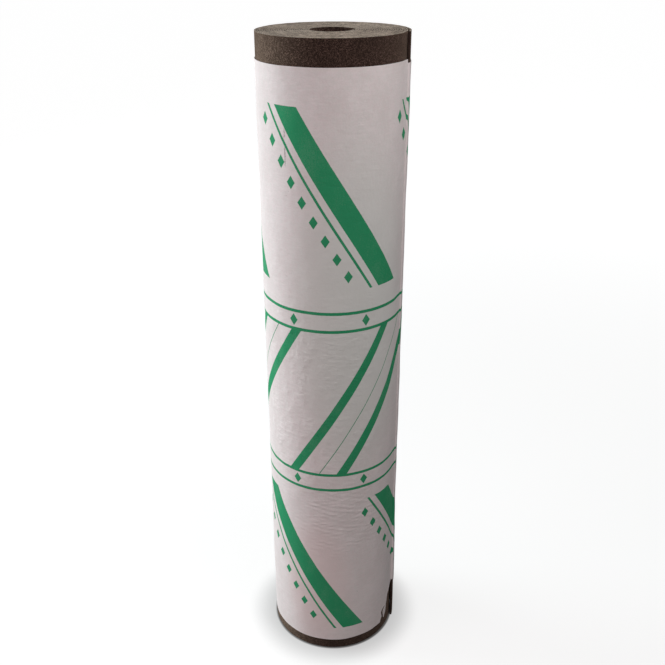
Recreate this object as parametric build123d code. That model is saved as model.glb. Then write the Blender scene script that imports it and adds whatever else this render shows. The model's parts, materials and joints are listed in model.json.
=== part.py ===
from build123d import *
import math
import os

# A roll of roofing felt standing on its end, wound on itself about an open bore and wrapped
# in a sleeve of paper. Millimetres, +Z up. The origin is on the bore's axis, at the floor.

# The felt
ROLL_WIDTH = 1000.0       # width of the felt, so the height of the roll on its end
BORE_DIAMETER = 59.0      # the open middle that the felt is wound about
FELT_THICKNESS = 3.06     # one turn of felt
TURNS = 24
TAIL_DIRECTION = -14.0    # where the felt's free outer edge lies, in degrees from +X
SEAM_WIDTH = 0.6          # the spiral seam between turns, as it shows on each end
SEAM_DEPTH = 1.0

# The paper
PAPER_WIDTH = 946.4       # height of the paper on the standing roll
PAPER_FOOT = 18.3         # from the floor to the paper's lower edge
PAPER_THICKNESS = 0.2
PAPER_CLEARANCE = 0.05    # between the paper and the felt that it wraps
TEAR_FRONT = 40.0         # the tear in the paper's foot at the felt's free edge: on the lower
TEAR_BACK = 37.0          # turn in front of the edge, on the last turn behind it,
TEAR_HEIGHT = 64.6        # and up the edge


def half_turn_centre(half_turn):
    """The spiral is drawn in half turns about two centres, half a thickness apart."""
    return FELT_THICKNESS / 4 * (1 if half_turn % 2 else -1)


def half_turn_radius(half_turn):
    """Half turn 0 is the outside of the innermost felt, and each is half a thickness larger."""
    return BORE_DIAMETER / 2 + FELT_THICKNESS * (3 / 4 + half_turn / 2)


def spiral_point(half_turn, share, offset):
    """A point on a half turn, a share of the way round it and offset outwards.

    The felt is wound clockwise, seen from above, and its free edge is on the +X axis.
    """
    angle = math.pi * (half_turn + share)
    radius = half_turn_radius(half_turn) + offset
    return half_turn_centre(half_turn) + radius * math.cos(angle), -radius * math.sin(angle)


def half_turn_arc(half_turn, offset, start=0.0, end=1.0):
    """One half turn of the spiral, from one share of the way round it to another."""
    shares = (start, (start + end) / 2, end)
    return ThreePointArc(*[spiral_point(half_turn, share, offset) for share in shares])


# The last whole turn is the outer surface, and ends in the step of the felt's free edge.
# The half turns before it are the seam.
OUTER_HALF_TURNS = (2 * TURNS - 2, 2 * TURNS - 1)
SEAM_HALF_TURNS = range(2 * TURNS - 2)


def outline(offset):
    """The roll seen from above, offset outwards: its last turn, closed by the step."""
    first, last = OUTER_HALF_TURNS
    before = offset / (math.pi * half_turn_radius(first))
    past = offset / (math.pi * half_turn_radius(last))
    turn = [half_turn_arc(first, offset, start=before), half_turn_arc(last, offset, end=1 + past)]
    return make_face([*turn, Line(turn[1] @ 1, turn[0] @ 0)])


def seam_strip():
    """The flat strip of the spiral seam, from the innermost felt to the foot of the step."""
    sides = [[half_turn_arc(k, side * SEAM_WIDTH / 2) for k in SEAM_HALF_TURNS] for side in (-1, 1)]
    ends = [Line(sides[0][i] @ i, sides[1][i] @ i) for i in (0, -1)]
    return make_face([*sides[0], *sides[1], *ends])


def felt_roll():
    """One solid with its bore, and the spiral seam between its turns sunk in both ends."""
    roll = extrude(outline(0.0) - Circle(BORE_DIAMETER / 2), ROLL_WIDTH)
    seam = extrude(seam_strip(), SEAM_DEPTH)
    return roll - seam - Pos(0, 0, ROLL_WIDTH - SEAM_DEPTH) * seam


def paper_wrapper():
    """A sleeve of paper round the last turn and over its step, torn at the foot of the step."""
    section = outline(PAPER_CLEARANCE + PAPER_THICKNESS) - outline(PAPER_CLEARANCE)
    sleeve = Pos(0, 0, PAPER_FOOT) * extrude(section, PAPER_WIDTH)

    edge_x, edge_y = spiral_point(OUTER_HALF_TURNS[1], 1, 0.0)
    across = Plane((edge_x, edge_y, PAPER_FOOT), x_dir=(0, 1, 0), z_dir=(1, 0, 0))
    tear = make_face(Polyline((-TEAR_FRONT, 0), (0, TEAR_HEIGHT), (TEAR_BACK, 0), close=True))
    return sleeve - extrude(across * tear, (TEAR_FRONT + TEAR_BACK) / 2, both=True)


def main():
    os.makedirs("parts", exist_ok=True)
    turned = Rot(0, 0, TAIL_DIRECTION)
    export_step(turned * felt_roll(), "parts/felt_roll.step")
    export_step(turned * paper_wrapper(), "parts/paper_wrapper.step")


main()
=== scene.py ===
import json
import math

import bmesh
import bpy
import numpy as np
from mathutils import Matrix, Vector


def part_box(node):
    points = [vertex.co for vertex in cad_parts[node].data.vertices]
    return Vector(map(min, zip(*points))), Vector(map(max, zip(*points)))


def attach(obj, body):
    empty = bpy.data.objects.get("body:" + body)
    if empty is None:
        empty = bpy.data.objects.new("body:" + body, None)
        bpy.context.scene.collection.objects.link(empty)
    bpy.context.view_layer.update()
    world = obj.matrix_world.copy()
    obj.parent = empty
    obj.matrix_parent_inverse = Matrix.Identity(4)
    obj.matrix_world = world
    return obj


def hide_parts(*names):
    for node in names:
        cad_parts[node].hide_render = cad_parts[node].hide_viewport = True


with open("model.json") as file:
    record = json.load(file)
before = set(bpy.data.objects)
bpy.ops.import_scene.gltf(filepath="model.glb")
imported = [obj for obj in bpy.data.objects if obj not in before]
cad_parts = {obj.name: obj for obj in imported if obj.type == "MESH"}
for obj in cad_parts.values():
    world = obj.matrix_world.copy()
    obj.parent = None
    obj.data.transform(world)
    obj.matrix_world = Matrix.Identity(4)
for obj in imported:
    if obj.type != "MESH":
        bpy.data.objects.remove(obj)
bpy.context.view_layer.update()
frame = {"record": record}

# A roll of roofing felt standing on its end in a torn paper wrapper. The felt is one long strip
# wound clockwise about an open bore. The paper is one sheet laid round it and over the step of
# the felt's free edge. Metres, +Z up, with the bore's axis on Z and the photo's camera at -Y.

TURN = 2 * math.pi

# The winding, with the sizes of the solid
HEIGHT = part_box("felt_roll")[1][2]
BORE = next(mount for mount in frame["record"]["mounts"] if mount["name"] == "bore")
BORE_RADIUS = BORE["dims"]["r_mm"] / 1000
THICKNESS = 0.00306
TURNS = 24
TAIL_DIRECTION = math.radians(-14)
WOUND = TURNS * TURN       # winding angle at the free edge

# The last turn has sprung a little loose towards the free edge, most of all at its foot
LOOSE_ANGLE = math.radians(85)
LOOSE_MIDDLE = 0.0003
LOOSE_HEAD = 0.0008
LOOSE_FOOT = 0.0026
HEAD_FROM = 0.55           # height above which the head springs further out
FOOT_FROM = 0.30           # height below which the foot does

# The sheet of paper
PAPER_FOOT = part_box("paper_wrapper")[0][2]
PAPER_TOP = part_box("paper_wrapper")[1][2]
PAPER_THICKNESS = 0.00022
PAPER_CLEARANCE = 0.00012
PAPER_SKEW = 0.0047        # how much lower the sheet's top was cut at its first edge
SKEW_DEPTH = 0.08          # how far down from the top that cut is spread
RAMP = 0.0025              # from the foot of the felt's step to where the paper meets the felt
END_GAP = 0.0020           # from the foot of the step to the sheet's last edge
LAP_LENGTH = 0.012         # over which that edge rises to lap over the ramp
FRONT_ANGLE = TAIL_DIRECTION + math.pi / 2               # from the front round to the step
PRINT_RADIUS = 0.1026      # radius at which the print's lengths are counted
SHEET_LENGTH = TURN * PRINT_RADIUS


def smooth(share):
    """Eases from 0 to 1 as the share does."""
    share = np.clip(share, 0.0, 1.0)
    return share * share * (3 - 2 * share)


def waves(s, z, count, s_lengths, z_lengths, rng):
    """Smooth random relief of about -1 to 1, as a sum of waves of the given lengths."""
    total = 0.0
    for _ in range(count):
        along = TURN / rng.uniform(*s_lengths) * rng.choice((-1, 1))
        up = TURN / rng.uniform(*z_lengths)
        total = total + np.sin(along * s + up * z + rng.uniform(0, TURN))
    return total / math.sqrt(2 * count)


def wander(places, step, rng):
    """Random values of -1 to 1 at the given places, changing over about one step."""
    knots = np.arange(places.min() - step, places.max() + 2 * step, step)
    return np.interp(places, knots, rng.uniform(-1, 1, len(knots)))


def levels(*stretches):
    """Heights from 0 up in stretches, each a (top, step) pair."""
    rows = [0.0]
    for top, step in stretches:
        count = max(1, round((top - rows[-1]) / step))
        rows.extend(np.linspace(rows[-1], top, count + 1)[1:])
    return np.array(rows)


def island(u, v, corners):
    """Places in a map, from shares across and up an island with the given low and high corner."""
    low, high = np.array(corners)
    return low + np.stack(np.broadcast_arrays(u, v), axis=-1) * (high - low)


class Shell:
    """One mesh, gathered from grids of quads that share their border points."""

    def __init__(self, *map_names):
        self.points = []
        self.faces = []
        self.slots = []
        self.maps = {name: [] for name in map_names}

    def add(self, points):
        """Adds points and gives their numbers, laid out as the points are."""
        points = np.asarray(points, float)
        first = len(self.points)
        self.points.extend(points.reshape(-1, 3))
        return np.arange(first, len(self.points)).reshape(points.shape[:-1])

    def grid(self, numbers, slot, **maps):
        """Quads over a grid of point numbers, with the grid's place in each UV map."""
        def quads(a):
            return np.stack([a[:-1, :-1], a[:-1, 1:], a[1:, 1:], a[1:, :-1]], axis=2)
        faces = quads(numbers).reshape(-1, 4).tolist()
        self.faces.extend(faces)
        self.slots.extend([slot] * len(faces))
        for name, uv in maps.items():
            self.maps[name].append(quads(uv).reshape(-1, 2))

    def face(self, numbers, slot, **maps):
        """One face over a ring of point numbers, all at one place in each UV map."""
        self.faces.append(list(numbers))
        self.slots.append(slot)
        for name, uv in maps.items():
            self.maps[name].append(np.tile(uv, (len(numbers), 1)))

    def build(self, name, materials, sharp_angle):
        """The mesh object, with its faces turned outwards."""
        mesh = bpy.data.meshes.new(name)
        mesh.from_pydata(np.array(self.points).tolist(), [], self.faces)
        for material in materials:
            mesh.materials.append(material)
        mesh.polygons.foreach_set("material_index", self.slots)
        for map_name, parts in self.maps.items():
            layer = mesh.uv_layers.new(name=map_name)
            layer.data.foreach_set("uv", np.concatenate(parts).ravel())
        work = bmesh.new()
        work.from_mesh(mesh)
        bmesh.ops.recalc_face_normals(work, faces=work.faces)
        work.to_mesh(mesh)
        work.free()
        mesh.shade_smooth()
        mesh.set_sharp_from_angle(angle=sharp_angle)
        piece = bpy.data.objects.new(name, mesh)
        bpy.context.collection.objects.link(piece)
        return piece


# The felt

FELT_SEED = 24
FELT_SHARP = math.radians(50)                            # past this an edge shows sharp
SANDED, GRITTY, CUT_AND_GROOVE_SHADE = 0, 1, 2                            # material slots; the last also paints shade in the grooves
STEPS = 144                # columns of points in one turn
LOOSE_STEPS = 34           # columns in the loose stretch, which stands clear of the turn under it
SAMPLES = TURNS * STEPS
LOOSE_START = SAMPLES - LOOSE_STEPS
RIM_DROP = 0.0007          # rounding of the felt's outer corners
GROOVE_DROP = 0.0024       # depth of the groove between turns on the roll's ends
GROOVE_VARIES = 0.25       # share by which that depth varies,
GROOVE_STEP = 0.35         # and the winding angle over which it does
GROOVE_RUN = 6             # columns over which a groove runs out into a rounded corner
EDGE_ACROSS = np.array([0.10, 0.30, 0.70, 0.90])         # points across one turn's edge
EDGE_DROP = np.array([0.00050, 0.00008, 0.00005, 0.00045])
EDGE_GRAIN = 0.00016       # roughness of the felt's cut edge
EDGE_WANDER = 0.0005       # of each turn, in and out of the roll's end,
EDGE_STEP = 0.9            # and the winding angle over which it does

# Rows of points up the walls, as stretches of (top, step) in shares of the height, and how high
# in their islands of the bake map those tops lie
WALL_ROWS = ((0.10, 0.006), (0.94, 0.04), (1.0, 0.005))
WALL_SHARES = ((0, 0.10, 0.94, 1), (0, 0.5, 0.62, 1))
BORE_ROWS = ((0.06, 0.01), (0.90, 0.06), (1.0, 0.01))
BORE_SHARES = ((0, 0.06, 0.90, 1), (0, 0.2, 0.5, 1))

# Islands of the felt's bake map: low and high corner
OUTSIDE_ISLAND = ((0.01, 0.01), (0.99, 0.36))
FLAP_ISLAND = ((0.02, 0.38), (0.30, 0.49))
BORE_ISLAND = ((0.34, 0.38), (0.88, 0.49))
FREE_EDGE_ISLAND = ((0.91, 0.38), (0.93, 0.49))
FIRST_EDGE_ISLAND = ((0.95, 0.38), (0.97, 0.49))
TOP_ISLAND = ((0.01, 0.51), (0.49, 0.99))
BOTTOM_ISLAND = ((0.51, 0.51), (0.99, 0.99))
END_SPAN = 0.215           # width of the square about the roll's end that fills its island


def looseness(winding, z):
    """How far the last turn has sprung away from the turn under it."""
    near_edge = smooth(1 - (WOUND - winding) / LOOSE_ANGLE)
    head = LOOSE_HEAD * smooth((z - HEAD_FROM) / (HEIGHT - HEAD_FROM))
    foot = LOOSE_FOOT * smooth((FOOT_FROM - z) / FOOT_FROM)
    return near_edge * (LOOSE_MIDDLE + head + foot)


def spiral(winding, offset, z):
    """Points on the felt's outer face, offset outwards, as half turns about two centres."""
    half_turn = np.clip(np.floor(winding / math.pi), 0, 2 * TURNS - 1)
    centre = np.where(half_turn % 2 == 1, 1, -1) * THICKNESS / 4
    radius = BORE_RADIUS + THICKNESS * (3 / 4 + half_turn / 2) + offset
    x = centre + radius * np.cos(winding)
    y = -radius * np.sin(winding)
    cos, sin = math.cos(TAIL_DIRECTION), math.sin(TAIL_DIRECTION)
    return np.stack(np.broadcast_arrays(x * cos - y * sin, x * sin + y * cos, z), axis=-1)


def corner_drop(columns):
    """How far a wall stops short of the roll's end, at columns away from where a groove runs out."""
    return RIM_DROP + (GROOVE_DROP - RIM_DROP) * smooth(1 - columns / GROOVE_RUN)


def felt_wall(shell, first, last, offset, drops, rows):
    """Points of a face of the felt that runs from end to end of the roll."""
    winding = np.arange(first, last + 1) * TURN / STEPS
    z = drops + rows[:, None] * (HEIGHT - 2 * drops)
    return shell.add(spiral(winding, offset + looseness(winding, z), z))


def face_wall(shell, wall, shares, corners, slot=SANDED):
    """Quads over the points of a wall, with its rows at the given shares up its island."""
    across = np.linspace(0, 1, wall.shape[1])
    shell.grid(wall, slot=slot, OFBake=island(across, shares[:, None], corners))


def felt_end(shell, top, inner, outer, corners, rng):
    """One end of the roll: the felt's rough cut edge, rounded between its grooves."""
    end_z, inwards = (HEIGHT, -1) if top else (0.0, 1)
    winding = np.arange(SAMPLES + 1) * TURN / STEPS
    lean = EDGE_WANDER * (0.5 + 0.5 * wander(winding, EDGE_STEP, rng))
    rough = EDGE_GRAIN * rng.random((len(winding), len(EDGE_ACROSS)))
    drop = EDGE_DROP + lean[:, None] + rough
    offset = (EDGE_ACROSS - 1) * THICKNESS + looseness(winding, end_z)[:, None]
    edge = shell.add(spiral(winding[:, None], offset, end_z + inwards * drop))

    grooves = winding[STEPS + 1:LOOSE_START]
    dip = GROOVE_DROP * (1 + GROOVE_VARIES * wander(grooves, GROOVE_STEP, rng))
    groove = shell.add(spiral(grooves, -THICKNESS, end_z + inwards * dip))

    start = np.concatenate([inner["bore"], groove, inner["flap"]])
    end = np.concatenate([start[STEPS:LOOSE_START], outer])
    band = np.column_stack([start, edge, end])
    shares = np.array(shell.points)[band] / END_SPAN + 0.5
    place = island(shares[..., 0], shares[..., 1], corners)
    # The walls down into the grooves take the dark cut colour as painted shade; the turns' tops are grit
    for slot, part in ((CUT_AND_GROOVE_SHADE, slice(0, 2)), (GRITTY, slice(1, 5)), (CUT_AND_GROOVE_SHADE, slice(4, 6))):
        shell.grid(band[:, part], slot=slot, OFBake=place[:, part])
    for tip in (band[0], band[-1]):
        shell.face(tip, slot=CUT_AND_GROOVE_SHADE, OFBake=corners[0])


def build_felt(materials):
    """One closed winding: its outside, its bore, its two cut edges and its two ends."""
    shell = Shell("OFBake")
    rng = np.random.default_rng(FELT_SEED)

    # The outside, from under the loose stretch round to the free edge
    rows = levels(*WALL_ROWS)
    shares = np.interp(rows, *WALL_SHARES)
    first = LOOSE_START - STEPS
    drops = corner_drop(np.arange(SAMPLES - first + 1))
    outside = felt_wall(shell, first, SAMPLES, 0.0, drops, rows)
    face_wall(shell, outside, shares, OUTSIDE_ISLAND)

    # The inside of the loose stretch, which joins the turn under it where it starts
    flap = felt_wall(shell, LOOSE_START + 1, SAMPLES, -THICKNESS, RIM_DROP, rows)
    flap = np.column_stack([outside[:, 0], flap])
    face_wall(shell, flap, shares, FLAP_ISLAND)

    # The bore
    bore_rows = levels(*BORE_ROWS)
    bore_shares = np.interp(bore_rows, *BORE_SHARES)
    drops = corner_drop(np.arange(STEPS, -1, -1))
    bore = felt_wall(shell, 0, STEPS, -THICKNESS, drops, bore_rows)
    face_wall(shell, bore, bore_shares, BORE_ISLAND)

    # The felt's two cut edges: the free one outside and the first one in the bore
    free_edge = np.column_stack([flap[:, -1], outside[:, -1]])
    face_wall(shell, free_edge, shares, FREE_EDGE_ISLAND, slot=CUT_AND_GROOVE_SHADE)
    first_edge = np.column_stack([bore[:, 0], bore[:, -1]])
    face_wall(shell, first_edge, bore_shares, FIRST_EDGE_ISLAND, slot=CUT_AND_GROOVE_SHADE)

    for top, row, corners in ((True, -1, TOP_ISLAND), (False, 0, BOTTOM_ISLAND)):
        inner = {"bore": bore[row], "flap": flap[row]}
        felt_end(shell, top, inner, outside[row], corners, rng)
    return shell.build("felt_winding", materials, FELT_SHARP)


# The paper

PAPER_SEED = 7
PAPER_SHARP = math.radians(60)
PRINTED, PLAIN = 0, 1                                    # material slots
SHEET_COLUMNS = 150
RAMP_COLUMNS = RAMP * np.array([-1.0, -0.55, -0.1])
SHEET_HEIGHT = PAPER_TOP - PAPER_FOOT
# Rows of points up the sheet, as stretches of (top, step), finest at the tear and the ripples
SHEET_ROWS = (
    (0.034, 0.001),
    (0.070, 0.0018),
    (0.125, 0.0046),
    (0.330, 0.00135),
    (SHEET_HEIGHT, 0.0093),
)
EDGES = ((0, slice(None)), (-1, slice(None)), (slice(None), 0), (slice(None), -1))   # of a grid of points

# Relief: height, number of waves, and the shortest and longest of them round the roll and up it
SLACK = (0.0004, 10, (0.05, 0.25), (0.08, 0.5))
COCKLE = (0.0001, 12, (0.012, 0.05), (0.02, 0.09))
RIPPLE = (0.0006, 30, (0.012, 0.050), (0.0055, 0.0110))
RIPPLE_BREAKS = (8, (0.02, 0.06), (0.018, 0.05))         # waves that leave the ripples out in places
RIPPLE_COVER = (0.75, 0.5)                               # how much they leave, and how far it varies
RIPPLE_MIDDLE = (0.026, 0.282)
RIPPLE_REACH = (0.080, 0.072)
SETTLED = 0.02             # length from the sheet's first edge over which the relief sets in

# The tear, up the step from the foot
TEAR_ROOM = 0.075          # of the sheet's end that the tear is let into
START_ROOM = 0.060         # and of its start
TEAR_RAGS = ((0.00049, 0.0021), (0.00035, 0.006))        # raggedness of its edges, and its step
TEAR_LIFT = 0.0007         # of its edges off the felt,
TEAR_TOP = 0.080           # below this height,
TEAR_FADE = 0.010          # and the length over which the lift fades
# The torn foot of the sheet's end: heights, and distances from the step
TEAR_END = (
    (0.0183, 0.0430),
    (0.0240, 0.0397),
    (0.0290, 0.0372),
    (0.0390, 0.0400),
    (0.0430, 0.0372),
    (0.0454, 0.0325),
    (0.0470, 0.0215),
    (0.0640, 0.0185),
    (0.0700, 0.0115),
    (0.0770, 0.0065),
    (0.0825, END_GAP),
)
# The torn foot of the sheet's start, on the last turn behind the free edge
TEAR_START = (
    (0.0181, 0.0369),
    (0.0480, 0.0319),
    (0.0720, 0.0209),
    (0.0770, 0.0150),
    (0.0814, 0.0010),
    (0.0829, -RAMP),
)

# A strip that hangs by a neck from the torn edge: heights, and its two sides' distances from the step
STRIP = (
    (0.0200, 0.0290, 0.0305),
    (0.0270, 0.0225, 0.0318),
    (0.0345, 0.0200, 0.0330),
    (0.0388, 0.0195, 0.0308),
    (0.0432, 0.0190, 0.0222),
    (0.0520, 0.0195, 0.0232),
)
STRIP_ROWS = 28
STRIP_COLUMNS = 5
STRIP_RAG = 0.0004
STRIP_GAP = 0.00005        # between the strip's neck and the felt
STRIP_CURL = 0.0009        # how far the strip stands off below its neck,
STRIP_BOW = 0.5            # the share of that by which its sides stand off less,
CURL_FROM = 0.045          # the height where it starts to curl,
CURL_DEPTH = 0.03          # and how far down it takes

# Islands of the paper's bake map: low and high corner
OUTER_ISLAND = ((0.005, 0.005), (0.955, 0.995))
INNER_ISLAND = ((0.965, 0.005), (0.985, 0.995))
RIM_ISLAND = ((0.990, 0.005), (0.995, 0.995))
STRIP_ISLAND = ((0.957, 0.005), (0.962, 0.050))


def paper_point(along, z, height):
    """Points of the wrapper: along is the way round from the felt's free edge, below 0 on the ramp."""
    lift = looseness(WOUND - along / PRINT_RADIUS, z)
    on_turn = spiral(WOUND - np.clip(along, 0, None) / PRINT_RADIUS, lift + height, z)
    foot = spiral(WOUND - TURN + RAMP / PRINT_RADIUS, height, z)
    down = np.clip(-along / RAMP, 0, 1)[..., None]
    return on_turn * (1 - down) + foot * down


def print_place(along):
    """The place along the print, which is counted from the roll's front."""
    return FRONT_ANGLE * PRINT_RADIUS - SHEET_LENGTH + along


def paper_relief(along, z, rng):
    """How far the paper stands off the felt: slack, a rippled patch and the lapped end."""
    s = print_place(along)

    def wavy(height, *kind):
        return height * (1 + waves(s, z, *kind, rng))

    slack = wavy(*SLACK)
    cockle = wavy(*COCKLE)
    across = (s - RIPPLE_MIDDLE[0]) / RIPPLE_REACH[0]
    up = (z - RIPPLE_MIDDLE[1]) / RIPPLE_REACH[1]
    patch = np.exp(-across ** 2 - up ** 2)
    cover, varies = RIPPLE_COVER
    broken = np.clip(cover + varies * waves(s, z, *RIPPLE_BREAKS, rng), 0, 1)
    ripple = patch * broken * wavy(*RIPPLE)
    loose = np.clip(slack + cockle + ripple, 0, None) * smooth((along + RAMP) / SETTLED)

    ramp_height = (THICKNESS + looseness(WOUND, z)) * (1 - END_GAP / RAMP)
    to_step = SHEET_LENGTH - along
    rise = smooth((LAP_LENGTH - to_step) / (LAP_LENGTH - END_GAP))
    return loose + (ramp_height + 2 * PAPER_THICKNESS) * rise


def torn(table, z, rng):
    """A ragged torn edge through the points of a table of (height, distance)."""
    heights, distances = np.array(table).T
    edge = np.interp(z, heights, distances)
    ragged = (z < heights[-1]) & (edge > END_GAP)
    rag = sum(size * wander(z, step, rng) for size, step in TEAR_RAGS)
    return edge + np.where(ragged, rag, 0.0)


def sheet_grid(rng):
    """The sheet's points, as their ways round and their heights, and the way round to its last edge."""
    z = PAPER_FOOT + levels(*SHEET_ROWS)
    starts = torn(TEAR_START, z, rng)[:, None]
    ends = SHEET_LENGTH - torn(TEAR_END, z, rng)[:, None]
    turn = np.linspace(0, SHEET_LENGTH - END_GAP, SHEET_COLUMNS)
    along = np.concatenate([RAMP_COLUMNS, turn])[None, :]
    at_start = START_ROOM - (START_ROOM - along) * (START_ROOM - starts) / (START_ROOM + RAMP)
    room = SHEET_LENGTH - TEAR_ROOM
    at_end = room + (along - room) * (ends - room) / (TEAR_ROOM - END_GAP)
    along = np.where(along < START_ROOM, at_start, np.where(along > room, at_end, along))
    return along, np.broadcast_to(z[:, None], along.shape), ends


def add_leaf(shell, along, z, height, slot, outer_place, inner_place, rim_places):
    """A thin leaf of paper: its outer face in a slot, its inner face and its four edges plain."""
    inner = shell.add(paper_point(along, z, height))
    outer = shell.add(paper_point(along, z, height + PAPER_THICKNESS))
    print_map = np.stack([print_place(along), z], axis=-1)
    shell.grid(outer, slot=slot, Print=print_map, OFBake=outer_place)
    shell.grid(inner, slot=PLAIN, Print=print_map, OFBake=inner_place)
    for edge, place in zip(EDGES, rim_places):
        rim = np.column_stack([inner[edge], outer[edge]])
        shell.grid(rim, slot=PLAIN, Print=np.stack([print_map[edge]] * 2, axis=1), OFBake=place)


def add_sheet(shell, rng):
    """The sheet, slack on the felt, skewed at its top and lifted along its tear."""
    along, z, ends = sheet_grid(rng)
    near_tear = smooth((TEAR_TOP - z) / TEAR_FADE) * smooth(1 - (ends - along) / TEAR_FADE)
    height = PAPER_CLEARANCE + paper_relief(along, z, rng) + TEAR_LIFT * near_tear
    near_top = smooth((z - PAPER_TOP + SKEW_DEPTH) / SKEW_DEPTH)
    z = z - PAPER_SKEW * near_top * np.clip(1 - along / (SHEET_LENGTH / 2), 0, 1)

    across = (along + RAMP) / (SHEET_LENGTH + RAMP)
    up = (z - PAPER_FOOT) / SHEET_HEIGHT
    faces = [island(across, up, corners) for corners in (OUTER_ISLAND, INNER_ISLAND)]
    counts = [len(along[edge]) for edge in EDGES]
    rims = [island(np.array([0, 1]), np.linspace(0, 1, n)[:, None], RIM_ISLAND) for n in counts]
    add_leaf(shell, along, z, height, PRINTED, *faces, rims)


def add_strip(shell, rng):
    """The torn strip, curled a little off the felt and tucked behind the sheet at its top."""
    heights, near, far = np.array(STRIP).T
    z = np.linspace(heights[0], heights[-1], STRIP_ROWS)[:, None]
    share = np.linspace(0, 1, STRIP_COLUMNS)
    near, far = (np.interp(z, heights, side) for side in (near, far))
    to_step = near + (far - near) * share
    to_step[:, [0, -1]] += STRIP_RAG * rng.uniform(-1, 1, (STRIP_ROWS, 2))
    bowed = 1 - STRIP_BOW * (2 * share - 1) ** 2
    height = STRIP_GAP + STRIP_CURL * smooth((CURL_FROM - z) / CURL_DEPTH) * bowed

    along = SHEET_LENGTH - to_step
    place = island(share, np.linspace(0, 1, STRIP_ROWS)[:, None], STRIP_ISLAND)
    rims = [np.stack([place[edge]] * 2, axis=1) for edge in EDGES]
    add_leaf(shell, along, np.broadcast_to(z, along.shape), height, PLAIN, place, place, rims)


def build_paper(materials):
    """One thin sheet of two faces and four edges, and the torn strip that hangs from it."""
    shell = Shell("Print", "OFBake")
    rng = np.random.default_rng(PAPER_SEED)
    add_sheet(shell, rng)
    add_strip(shell, rng)
    return shell.build("paper_sheet", materials, PAPER_SHARP)


# Materials

class Field:
    """A number over a surface, worked out by Math nodes."""

    def __init__(self, tree, output):
        self.tree = tree
        self.output = output

    def math(self, operation, *others):
        """This field put through a Math node, with any other fields or plain numbers that it takes."""
        node = self.tree.nodes.new("ShaderNodeMath")
        node.operation = operation
        for socket, value in zip(node.inputs, (self, *others)):
            if isinstance(value, Field):
                self.tree.links.new(value.output, socket)
            else:
                socket.default_value = value
        return Field(self.tree, node.outputs[0])

    def __add__(self, other):
        return self.math("ADD", other)

    def __sub__(self, other):
        return self.math("SUBTRACT", other)

    def __mul__(self, other):
        return self.math("MULTIPLY", other)

    def abs(self):
        """The size of this number, without its sign."""
        return self.math("ABSOLUTE")

    def both(self, other):
        """The distance to what two shapes share."""
        return self.math("MAXIMUM", other)

    def either(self, other):
        """The distance to the nearer of two shapes."""
        return self.math("MINIMUM", other)

    def repeat(self, period):
        """The distance from the nearest of marks that are one period apart."""
        return ((self * (1 / period) + 0.5).math("FRACT") - 0.5) * period

    def ramp(self, low, high, to_low=0.0, to_high=1.0):
        """Eased from one value to another as this goes from low to high."""
        node = self.tree.nodes.new("ShaderNodeMapRange")
        node.interpolation_type = "SMOOTHSTEP"
        self.tree.links.new(self.output, node.inputs["Value"])
        ends = {"From Min": low, "From Max": high, "To Min": to_low, "To Max": to_high}
        for name, value in ends.items():
            node.inputs[name].default_value = value
        return Field(self.tree, node.outputs["Result"])


class Surface:
    """A procedural material with one Principled shader."""

    def __init__(self, name, **constants):
        self.material = bpy.data.materials.new(name)
        self.material.use_nodes = True
        self.tree = self.material.node_tree
        self.shader = next(n for n in self.tree.nodes if n.type == "BSDF_PRINCIPLED")
        for socket, value in constants.items():
            self.shader.inputs[socket.replace("_", " ")].default_value = value

    def node(self, kind, **inputs):
        """A new node, with its named inputs fed."""
        node = self.tree.nodes.new(kind)
        for name, value in inputs.items():
            self.feed(node.inputs[name], value)
        return node

    def feed(self, socket, value):
        """Links a field or another node's output to a socket, or sets a plain value on it."""
        if isinstance(value, Field):
            self.tree.links.new(value.output, socket)
        elif isinstance(value, bpy.types.NodeSocket):
            self.tree.links.new(value, socket)
        else:
            socket.default_value = value

    def where(self):
        """The place on the object, in metres."""
        return self.node("ShaderNodeTexCoord").outputs["Object"]

    def axis(self, name):
        """One coordinate of the place on the object."""
        parts = self.node("ShaderNodeSeparateXYZ", Vector=self.where())
        return Field(self.tree, parts.outputs[name])

    def map(self, name):
        """The two coordinates of a UV map."""
        uv = self.node("ShaderNodeUVMap")
        uv.uv_map = name
        parts = self.node("ShaderNodeSeparateXYZ", Vector=uv.outputs["UV"])
        return Field(self.tree, parts.outputs["X"]), Field(self.tree, parts.outputs["Y"])

    def noise(self, size, detail=2.0, roughness=0.5, stretch=(1, 1, 1)):
        """Soft noise of about 0 to 1, with features of a size in metres."""
        scaling = self.node("ShaderNodeVectorMath", Vector=self.where())
        scaling.operation = "MULTIPLY"
        scaling.inputs[1].default_value = [1 / (size * s) for s in stretch]
        node = self.node("ShaderNodeTexNoise", Vector=scaling.outputs["Vector"], Detail=detail,
                         Roughness=roughness, Scale=1.0)
        return Field(self.tree, node.outputs["Fac"])

    def mix(self, share, first, second):
        """One colour going over to another with the share, each a tuple or another mix."""
        node = self.node("ShaderNodeMix")
        node.data_type = "RGBA"
        ends = [socket for socket in node.inputs if socket.type == "RGBA"]
        for socket, colour in zip(ends, (first, second)):
            self.feed(socket, (*colour, 1.0) if isinstance(colour, tuple) else colour)
        self.feed(node.inputs["Factor"], share)
        return next(socket for socket in node.outputs if socket.type == "RGBA")

    def finish(self, colour, roughness, relief, depth):
        """Links the shader's colour, roughness and relief, whose depth is in metres for a relief of 1."""
        self.feed(self.shader.inputs["Base Color"], colour)
        self.feed(self.shader.inputs["Roughness"], roughness)
        bump = self.node("ShaderNodeBump", Height=relief, Distance=depth, Strength=1.0)
        self.tree.links.new(bump.outputs["Normal"], self.shader.inputs["Normal"])
        return self.material


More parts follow.
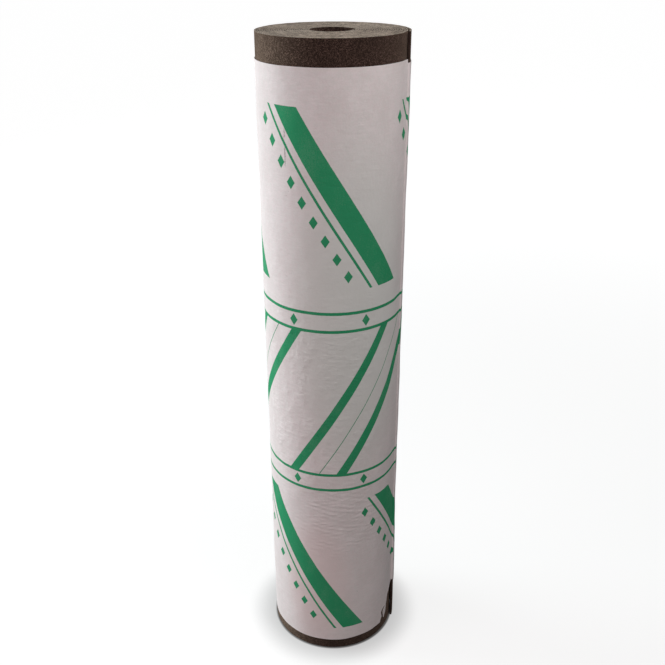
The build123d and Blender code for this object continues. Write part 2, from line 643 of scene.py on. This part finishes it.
# The felt's colours: as on the roll's front and right, and paler on its left as painted light from the
# window side
BITUMEN = ((0.016, 0.0086, 0.0072), (0.060, 0.0430, 0.0330))
SAND = ((0.108, 0.0660, 0.0540), (0.265, 0.1950, 0.1520))
PAINTED_LIGHT_SIDE = (-0.112, -0.010)                            # across the roll, from the painted light on the left to the plain colours
SAND_SHEEN = (1.0, 0.75, 0.58, 1.0)
# The cut edges' darkest and palest colours, and that of the dark patches on the roll's ends
GRIT = ((0.110, 0.088, 0.070), (0.42, 0.36, 0.295))
GRIT_PATCH = (0.15, 0.122, 0.100)
# Dark bitumen of the felt's two cut ends, also laid in the grooves between turns as painted shade
CUT_BITUMEN_AND_GROOVE_SHADE = ((0.030, 0.0185, 0.0150), (0.070, 0.046, 0.038))


def felt_side_material():
    """Sanded bitumen: dark brown with fine pale grains, all its colours paler towards the roll's left as
    painted light.
    """
    surface = Surface("sanded_felt", Specular_IOR_Level=0.0, Sheen_Weight=0.18, Sheen_Roughness=0.60,
                      Sheen_Tint=SAND_SHEEN)
    grain = surface.noise(size=0.0012, roughness=0.6)
    clump = surface.noise(size=0.0028)
    patch = surface.noise(size=0.03, detail=3.0, roughness=0.6)
    sand = (grain * 0.75 + clump * 0.25).ramp(0.44, 0.66)
    # Painted light: bitumen and grains both grow paler towards the roll's left, where the window light
    # falls
    painted_light = surface.axis("X").ramp(*PAINTED_LIGHT_SIDE, 1.0, 0.0)
    bitumen = surface.mix(painted_light, *BITUMEN)
    colour = surface.mix(sand, bitumen, surface.mix(painted_light, *SAND))
    colour = surface.mix(patch.ramp(0.42, 0.70, 0.0, 0.5), colour, bitumen)
    return surface.finish(colour, sand.ramp(0, 1, 0.62, 0.80), grain + clump * 0.6, depth=0.0006)


def felt_end_material():
    """The felt's crumbled cut edges on the roll's ends: grey-brown grit."""
    surface = Surface("felt_edges", Specular_IOR_Level=0.2)
    grain = surface.noise(size=0.0016, detail=3.0, roughness=0.65)
    clump = surface.noise(size=0.006, detail=3.0, roughness=0.6)
    patch = surface.noise(size=0.035)
    grit = (grain * 0.55 + clump * 0.45).ramp(0.36, 0.64)
    colour = surface.mix(grit, *GRIT)
    colour = surface.mix(patch.ramp(0.42, 0.72, 0.0, 0.40), colour, GRIT_PATCH)
    return surface.finish(colour, grit.ramp(0, 1, 0.72, 0.90), grain + clump * 0.5, depth=0.0007)


def cut_and_groove_shade_material():
    """Dark bitumen without sand on the felt's two cut ends, and the same dark colour in the grooves
    between its turns as painted shade.
    """
    surface = Surface("cut_bitumen_and_groove_shade", Specular_IOR_Level=0.03)
    grain = surface.noise(size=0.0012)
    streak = surface.noise(size=0.002, stretch=(1, 1, 8))
    tone = (grain * 0.5 + streak * 0.5).ramp(0.4, 0.7)
    colour = surface.mix(tone, *CUT_BITUMEN_AND_GROOVE_SHADE)
    return surface.finish(colour, tone.ramp(0, 1, 0.5, 0.75), streak + grain * 0.5, depth=0.0003)


# The print, in metres on the flat sheet: s to the right of the front, z up from the floor

REPEAT = SHEET_LENGTH / 3
RULES = (0.6312, 0.6032, 0.3583, 0.3305)                 # heights of the rings
RULE_WIDTH = 0.0046
SLANT = 0.6126             # of the diagonals, across for each step up
SLANT_COS = 1 / math.hypot(1, SLANT)
STRIPES = ((-0.0639, 0.0158), (0.0123, 0.0160), (-0.0222, 0.0012))   # place at the ring below, and width
ZONES = ((0.7905, 0.1250, 0.012), (0.1745, 0.1295, -0.045))   # bars' middle, half height and shift
BARS = ((0.0, 0.036), (-0.031, 0.0042))                  # middle and width of a group's two bars
LOZENGE = (0.0062, 0.0092) # half width and half height of a small lozenge
LOZENGE_EDGE = 0.8         # distance from its middle to its edge, about, in half widths
LOZENGE_PITCH = 0.026
ROW_PLACE = -0.053         # of the lozenges beside the bars
ROW_COUNT = 9
RING_MARK = 0.05           # place of a lozenge between the rings
INK_EDGE = (-0.00025, 0.00035)                           # distances over which the ink thins out
INK_BLEED = 0.0007
INK_WEAR = (0.30, 0.55, 0.94, 1.0)                       # noise from and to, and cover from and to
INK_COLOUR = (0.034, 0.300, 0.138)

# Rub marks in a line down the sheet
SCUFF = (-0.0655, 0.862)   # the line's middle
SCUFF_WANDER = 0.004
SCUFF_WIDTH = (0.0004, 0.0016)                           # half widths of its core and its blur
SCUFF_REACH = (0.018, 0.028)                             # and half lengths
SCUFF_BREAKS = (0.44, 0.56)                              # noise that breaks the line, from and to
SCUFF_STRENGTH = 0.50
SCUFF_COLOUR = (0.12, 0.105, 0.10)

# Faint stains on the front, one warm and one of rubbed ink: middle, reach, strength and colour
STAINS = (
    ((-0.027, 0.140), (0.070, 0.160), 0.60, (0.800, 0.650, 0.640)),
    ((0.036, 0.620), (0.115, 0.320), 0.75, (0.700, 0.722, 0.692)),
)
STAIN_CORE = 0.05          # share of a stain's spread that is not yet fading

# The bare paper
PAPER_TONES = ((0.738, 0.658, 0.655), (0.812, 0.734, 0.737))
PAPER_TINT = (0.720, 0.715, 0.690)
SPECK_COLOUR = (0.45, 0.39, 0.38)
CRINKLE_FOOT = (0.22, 0.38)                              # heights over which the crinkle sets in,
CRINKLE_HEAD = (0.56, 0.68)                              # and over which it dies down
CRINKLE_REST = 0.35        # share of it that is left elsewhere


def lozenge(x, y):
    """The distance to a lozenge about the origin."""
    width, height = LOZENGE
    return (x.abs() * (1 / width) + y.abs() * (1 / height) - 1) * (width * LOZENGE_EDGE)


def slanted_bars(s, z, middle, half, shift):
    """Bars that fall to the right, in groups of a broad and a narrow one with a row of lozenges."""
    up = z - middle
    across = s - shift + up * SLANT
    shape = None
    for place, width in BARS:
        bar = ((across - place).repeat(REPEAT).abs() - width / 2) * SLANT_COS
        shape = bar if shape is None else shape.either(bar)
    step = up.repeat(LOZENGE_PITCH)
    beside = (across - ROW_PLACE - step * SLANT).repeat(REPEAT)
    row = lozenge(beside, step).both(up.abs() - LOZENGE_PITCH * ROW_COUNT / 2)
    return shape.both(up.abs() - half).either(row)


def print_distance(s, z):
    """The distance to the nearest ink: rings, stripes between them, slanted bars and lozenges."""
    shape = None
    for height in RULES:
        rule = (z - height).abs() - RULE_WIDTH / 2
        shape = rule if shape is None else shape.either(rule)
    between = (z - (RULES[1] + RULES[2]) / 2).abs() - (RULES[1] - RULES[2]) / 2
    for foot, width in STRIPES:
        stripe = (s - foot - (z - RULES[2]) * SLANT).repeat(REPEAT)
        shape = shape.either(((stripe.abs() - width / 2) * SLANT_COS).both(between))
    for low, high in ((RULES[1], RULES[0]), (RULES[3], RULES[2])):
        mark = lozenge((s - RING_MARK).repeat(REPEAT / 2), z - (low + high) / 2)
        shape = shape.either(mark)
    for zone in ZONES:
        shape = shape.either(slanted_bars(s, z, *zone))
    return shape


def scuffs(s, z, fibre, cockle):
    """How dark the broken rub marks are, in a line down the sheet's upper left."""
    across, up = SCUFF
    line = (s - across + (fibre - 0.5) * SCUFF_WANDER).abs().ramp(*SCUFF_WIDTH, 1.0, 0.0)
    reach = (z - up).abs().ramp(*SCUFF_REACH, 1.0, 0.0)
    return line * reach * cockle.ramp(*SCUFF_BREAKS)


def stain(s, z, middle, reach):
    """How strong a stain is, fading out from its middle."""
    across = (s - middle[0]) * (1 / reach[0])
    up = (z - middle[1]) * (1 / reach[1])
    return (across * across + up * up).ramp(STAIN_CORE, 1.0, 1.0, 0.0)


def printed_colour(surface, colour, fibre, cockle, mottle):
    """The paper's colour with its stains, its ink and its rub marks."""
    s, z = surface.map("Print")
    for middle, reach, strength, tone in STAINS:
        colour = surface.mix(stain(s, z, middle, reach) * strength, colour, tone)
    bleed = (fibre - 0.5) * INK_BLEED
    cover = (print_distance(s, z) + bleed).ramp(*INK_EDGE, 1.0, 0.0)
    worn = (fibre * 0.5 + mottle * 0.5).ramp(*INK_WEAR)
    colour = surface.mix(cover * worn, colour, INK_COLOUR)
    return surface.mix(scuffs(s, z, fibre, cockle) * SCUFF_STRENGTH, colour, SCUFF_COLOUR)


def crinkle(surface, mottle):
    """Fine creases across the sheet, in patches, strongest about the sheet's middle."""
    creases = surface.noise(size=0.0056, stretch=(2.4, 2.4, 1)) * mottle.ramp(0.36, 0.62, 0.25, 1.0)
    height = surface.axis("Z")
    foot = height.ramp(*CRINKLE_FOOT, CRINKLE_REST, 1.0)
    return creases * foot * height.ramp(*CRINKLE_HEAD, 1.0, CRINKLE_REST)


def paper_material(name, printed):
    """Thin off-white paper, mottled and cockled, with or without the green print."""
    surface = Surface(name, Specular_IOR_Level=0.02)
    fibre = surface.noise(size=0.0016)
    laid = surface.noise(size=0.0024, roughness=0.6, stretch=(6, 6, 1))
    cockle = surface.noise(size=0.010, roughness=0.55)
    mottle = surface.noise(size=0.028, detail=3.0, roughness=0.55, stretch=(1, 1, 1.6))
    tint = surface.noise(size=0.0052, roughness=0.7).ramp(0.36, 0.64, 0.0, 0.30)
    speck = surface.noise(size=0.0030, detail=1.0).ramp(0.74, 0.80)

    blotch = fibre * 0.28 + laid * 0.22 + cockle * 0.20 + mottle * 0.30
    colour = surface.mix(blotch.ramp(0.38, 0.62), *PAPER_TONES)
    colour = surface.mix(tint, colour, PAPER_TINT)
    colour = surface.mix(speck * 0.35, colour, SPECK_COLOUR)
    if printed:
        colour = printed_colour(surface, colour, fibre, cockle, mottle)
    relief = fibre * 0.12 + laid * 0.22 + cockle + crinkle(surface, mottle) * 2.2
    return surface.finish(colour, cockle.ramp(0.3, 0.7, 0.58, 0.74), relief, depth=0.00055)


# The floor, the lights and the photo's view

FLOOR_SIZE = 60.0
FLOOR_TONE = 0.25
FLOOR_GLOW = (0.80, 0.95)  # near the roll, and far away
FLOOR_REACH = (0.5, 3.0)   # distances over which the one goes over to the other
FLOOR_CONTACT_SHADOW = (0.1030, 0.1065)                         # where the glow sets in round the roll's foot; inside it the floor is painted dark as a contact shadow
FLOOR_SHADE = (0.105, 0.160)                             # and where the glow is still dimmed as painted shadow,
FLOOR_DIMMED = 0.6         # to this share
WORLD_LIGHT = 0.18
# Name, place, what it faces, size, watts and colour
LAMPS = (
    ("window", (-2.49, 0.76, 1.25), (0, 0, 0.55), 1.6, 70.5, (0.87, 1.0, 1.0)),
    ("left_fill", (-2.5, -0.67, 1.3), (0, 0, 0.55), 1.6, 16.2, (1.0, 0.80, 0.84)),
    ("low_fill", (-0.4, -2.2, 0.35), (0, 0, 0.2), 0.9, 7.4, (1.0, 0.86, 0.84)),
    ("right_fill", (0.55, -0.50, 1.50), (0.05, -0.05, 0.95), 0.4, 4.0, (1.0, 0.97, 0.96)),
    ("overhead", (0.1, -0.1, 2.2), (0, 0, 1.0), 0.8, 6.0, (1.0, 0.98, 0.96)),
)
IMAGE_PIXELS = 665
FOCAL_PIXELS = 841.95
SENSOR_WIDTH = 36.0        # millimetres
CAMERA_PLACE = (0.0, -1.17900, 1.11919)
CAMERA_PITCH = 0.44705     # downwards; this and the next two in radians
CAMERA_ROLL = -0.00349
CAMERA_YAW = -0.00037


def floor_material():
    """A plain pale floor that reads white where it is lit and keeps the roll's soft shadow, with a
    contact shadow painted round the roll's foot.
    """
    material = bpy.data.materials.new("pale_floor")
    material.use_nodes = True
    tree = material.node_tree
    tree.nodes.clear()
    path = tree.nodes.new("ShaderNodeLightPath")
    seen = Field(tree, path.outputs["Is Camera Ray"])
    for ray in ("Is Glossy Ray", "Is Transmission Ray"):
        seen = seen + Field(tree, path.outputs[ray])
    place = tree.nodes.new("ShaderNodeTexCoord")
    length = tree.nodes.new("ShaderNodeVectorMath")
    length.operation = "LENGTH"
    tree.links.new(place.outputs["Object"], length.inputs[0])
    reach = Field(tree, length.outputs["Value"])
    # Painted shadow: no glow at the roll's foot, and dimmed glow round it
    near = reach.ramp(*FLOOR_CONTACT_SHADOW) * reach.ramp(*FLOOR_SHADE, FLOOR_DIMMED, 1.0)
    strength = reach.ramp(*FLOOR_REACH, *FLOOR_GLOW) * near
    glow = tree.nodes.new("ShaderNodeEmission")
    glow.inputs["Color"].default_value = (1, 1, 1, 1)
    tree.links.new((seen * strength).output, glow.inputs["Strength"])
    matte = tree.nodes.new("ShaderNodeBsdfDiffuse")
    matte.inputs["Color"].default_value = (FLOOR_TONE, FLOOR_TONE, FLOOR_TONE, 1)
    total = tree.nodes.new("ShaderNodeAddShader")
    tree.links.new(glow.outputs[0], total.inputs[0])
    tree.links.new(matte.outputs[0], total.inputs[1])
    output = tree.nodes.new("ShaderNodeOutputMaterial")
    tree.links.new(total.outputs[0], output.inputs["Surface"])
    return material


def add_floor():
    """A square of floor under the roll, as part of the stage."""
    half = FLOOR_SIZE / 2
    corners = [(-half, -half, 0), (half, -half, 0), (half, half, 0), (-half, half, 0)]
    mesh = bpy.data.meshes.new("floor")
    mesh.from_pydata(corners, [], [(0, 1, 2, 3)])
    mesh.materials.append(floor_material())
    floor = bpy.data.objects.new("floor", mesh)
    bpy.context.collection.objects.link(floor)


def add_lights():
    """A window's soft light from the left, weak fill, and an even surround that looks white."""
    for name, place, target, size, watts, colour in LAMPS:
        data = bpy.data.lights.new(name, "AREA")
        data.shape = "DISK"
        data.size = size
        data.energy = watts
        data.color = colour
        lamp = bpy.data.objects.new(name, data)
        lamp.location = place
        lamp.rotation_euler = (Vector(target) - Vector(place)).to_track_quat("-Z", "Y").to_euler()
        bpy.context.collection.objects.link(lamp)

    world = bpy.data.worlds.new("surround")
    world.use_nodes = True
    bpy.context.scene.world = world
    tree = world.node_tree
    background = next(n for n in tree.nodes if n.type == "BACKGROUND")
    path = tree.nodes.new("ShaderNodeLightPath")
    seen = Field(tree, path.outputs["Is Camera Ray"])
    strength = seen * (1 - WORLD_LIGHT) + WORLD_LIGHT
    background.inputs["Color"].default_value = (1, 1, 1, 1)
    tree.links.new(strength.output, background.inputs["Strength"])


def add_camera():
    """The photo's camera, in front of the roll, turned down to it and barely rolled."""
    data = bpy.data.cameras.new("camera")
    data.sensor_width = SENSOR_WIDTH
    data.lens = FOCAL_PIXELS / IMAGE_PIXELS * SENSOR_WIDTH
    camera = bpy.data.objects.new("camera", data)
    right = Vector((math.cos(CAMERA_YAW), -math.sin(CAMERA_YAW), 0))
    level = Vector((math.sin(CAMERA_YAW), math.cos(CAMERA_YAW), 0))
    forward = level * math.cos(CAMERA_PITCH) - Vector((0, 0, math.sin(CAMERA_PITCH)))
    up = right.cross(forward)
    cos, sin = math.cos(CAMERA_ROLL), math.sin(CAMERA_ROLL)
    turned = Matrix((right * cos + up * sin, up * cos - right * sin, -forward)).transposed()
    camera.matrix_world = Matrix.Translation(CAMERA_PLACE) @ turned.to_4x4()
    bpy.context.collection.objects.link(camera)
    bpy.context.scene.camera = camera


felt = build_felt([felt_side_material(), felt_end_material(), cut_and_groove_shade_material()])
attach(felt, "root")
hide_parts("felt_roll")

paper = build_paper([paper_material("printed_paper", True), paper_material("plain_paper", False)])
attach(paper, "root")
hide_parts("paper_wrapper")

add_floor()
add_lights()
add_camera()
bpy.context.scene.view_settings.view_transform = "Standard"
